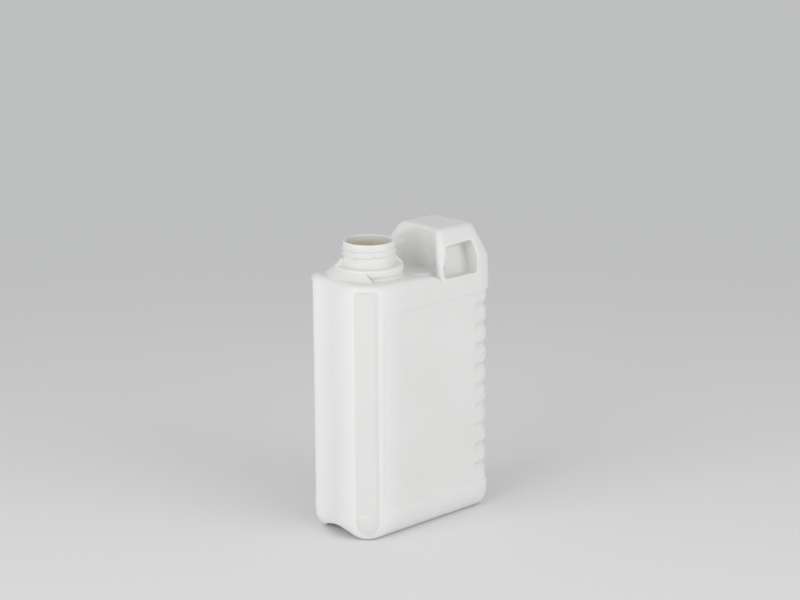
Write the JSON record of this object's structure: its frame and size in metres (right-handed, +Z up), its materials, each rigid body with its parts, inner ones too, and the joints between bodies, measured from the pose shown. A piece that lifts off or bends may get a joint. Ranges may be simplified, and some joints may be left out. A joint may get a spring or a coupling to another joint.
{
  "type": "jerrycan",
  "caption": "White blow-moulded plastic jerrycan bottle with an open threaded neck, a moulded pinch grip and a grooved rear.",
  "frame": {"origin": "under the middle of the bottle's bounding box, on the surface that it stands on", "axes": "+Z up, +X from the neck at the front to the grip at the rear, +Y across the thickness"},
  "size_m": [0.1204, 0.062, 0.2018],
  "materials": {
    "hdpe": "satin natural-white polyethylene, slightly translucent"
  },
  "bodies": {
    "root": {"jerrycan": "hdpe"}
  },
  "joints": []
}
